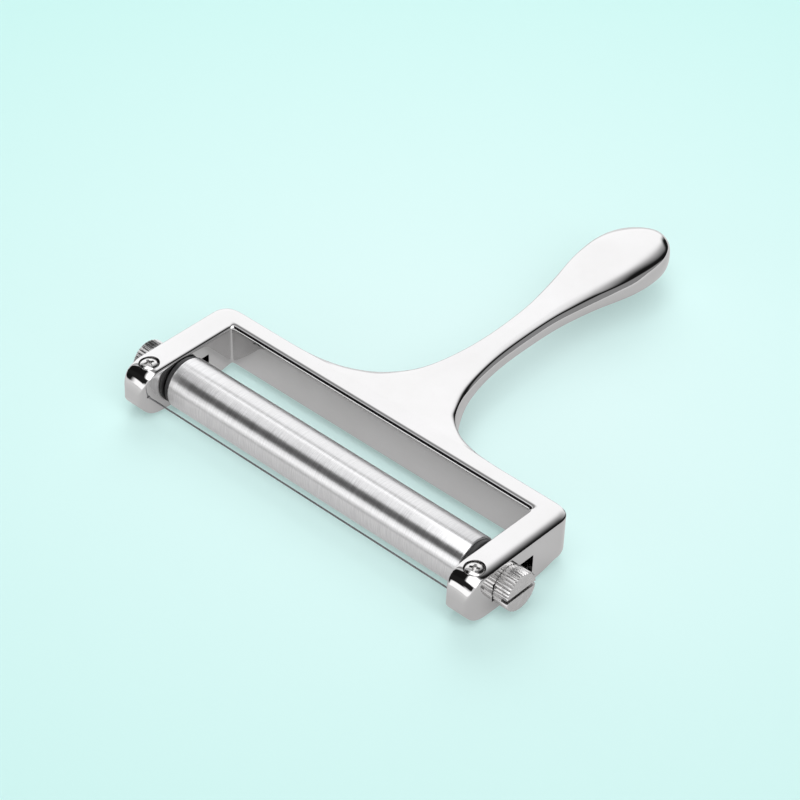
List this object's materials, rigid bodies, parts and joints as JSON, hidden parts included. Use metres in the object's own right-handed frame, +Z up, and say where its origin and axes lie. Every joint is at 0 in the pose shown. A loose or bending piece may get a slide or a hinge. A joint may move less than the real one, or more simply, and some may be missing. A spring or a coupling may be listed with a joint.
{
  "type": "cheese slicer",
  "caption": "Hand-held wire cheese slicer: polished forked casting with a tapering handle, a turning steel roller held by knurled thumb screws in slots, and a taut cutting wire.",
  "frame": {"origin": "under the middle of the whole object, level with the bottom of the roller", "axes": "+X along the roller to the right seen from the handle's side, +Y from the cutting wire towards the handle's end, +Z up"},
  "size_m": [0.1342, 0.1542, 0.0153],
  "materials": {
    "casting": "polished",
    "wire": "drawn",
    "roller": "satin",
    "axle": "turned",
    "bushings": "moulded",
    "thumb_screws": "nickel plated",
    "small_screws": "nickel plated"
  },
  "bodies": {
    "frame": {"frame_casting": "casting", "cutting_wire": "wire", "wire_screw_left": "small_screws", "wire_screw_right": "small_screws", "wire_washer_left": "small_screws", "wire_washer_right": "small_screws"},
    "axle": {"axle_rod": "axle"},
    "roller": {"roller_tube": "roller", "roller_bushing_left": "bushings", "roller_bushing_right": "bushings"},
    "thumb_left": {"thumb_screw_left": "thumb_screws"},
    "thumb_right": {"thumb_screw_right": "thumb_screws"}
  },
  "joints": [
    {"name": "roller_slide", "type": "slide", "parent": "frame", "child": "axle", "axis": [0, 1, 0], "range_m": [-0.0025, 0.0072]},
    {"name": "roller_spin", "type": "hinge", "parent": "axle", "child": "roller", "pos_m": [0, -0.06232, 0.0075], "axis": [1, 0, 0], "continuous": true},
    {"name": "left_screw_turn", "type": "hinge", "parent": "axle", "child": "thumb_left", "pos_m": [-0.0646, -0.06232, 0.0075], "axis": [-1, 0, 0], "range_deg": [0, 360]},
    {"name": "right_screw_turn", "type": "hinge", "parent": "axle", "child": "thumb_right", "pos_m": [0.0646, -0.06232, 0.0075], "axis": [1, 0, 0], "range_deg": [0, 360]}
  ]
}
